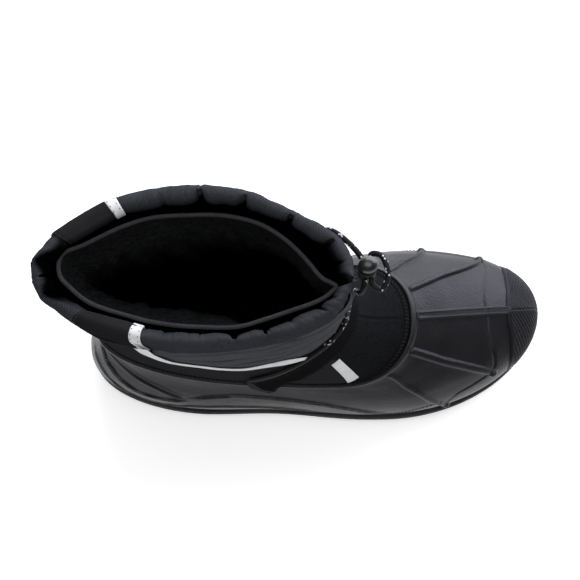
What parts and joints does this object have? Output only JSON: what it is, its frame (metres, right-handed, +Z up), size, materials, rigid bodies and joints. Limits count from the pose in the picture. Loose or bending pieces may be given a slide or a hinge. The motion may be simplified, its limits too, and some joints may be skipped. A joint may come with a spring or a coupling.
{
  "type": "waterproof winter boot",
  "caption": "Black pull-on winter boot, right foot: moulded rubber lower shell with toe bumper, fabric shaft, padded drawcord collar, instep strap and a sprung cord lock",
  "frame": {"origin": "centre of the boot's box, on the floor under the sole", "axes": "+X to the toe, +Y to the inner side of the foot, +Z up"},
  "size_m": [0.3016, 0.1126, 0.246],
  "materials": {
    "sole_rubber": "matt black moulded rubber",
    "shell_rubber": "satin black moulded rubber",
    "bumper_rubber": "knurled black rubber",
    "upper_cloth": "black woven nylon and brushed stretch fabric",
    "collar_cloth": "black woven nylon, padded and gathered",
    "insole_foam": "charcoal cloth on foam",
    "strap_webbing": "smooth black coated strap",
    "cord_braid": "black elastic braid with pale flecks",
    "lock_plastic": "glossy black plastic"
  },
  "bodies": {
    "boot": {"outsole": "sole_rubber", "shell": "shell_rubber", "toe_bumper": "bumper_rubber", "upper": "upper_cloth", "collar": "collar_cloth", "insole": "insole_foam", "strap": "strap_webbing", "drawcord_lateral": "cord_braid", "drawcord_medial": "cord_braid", "cord_loop": "cord_braid", "cord_lock_barrel": "lock_plastic"},
    "plunger": {"cord_lock_plunger": "lock_plastic"}
  },
  "joints": [
    {"name": "lock_press", "type": "slide", "parent": "boot", "child": "plunger", "axis": [0, 0, -1], "range_m": [0, 0.0036], "stiffness_N_per_m": 600, "springref_m": -0.004}
  ]
}
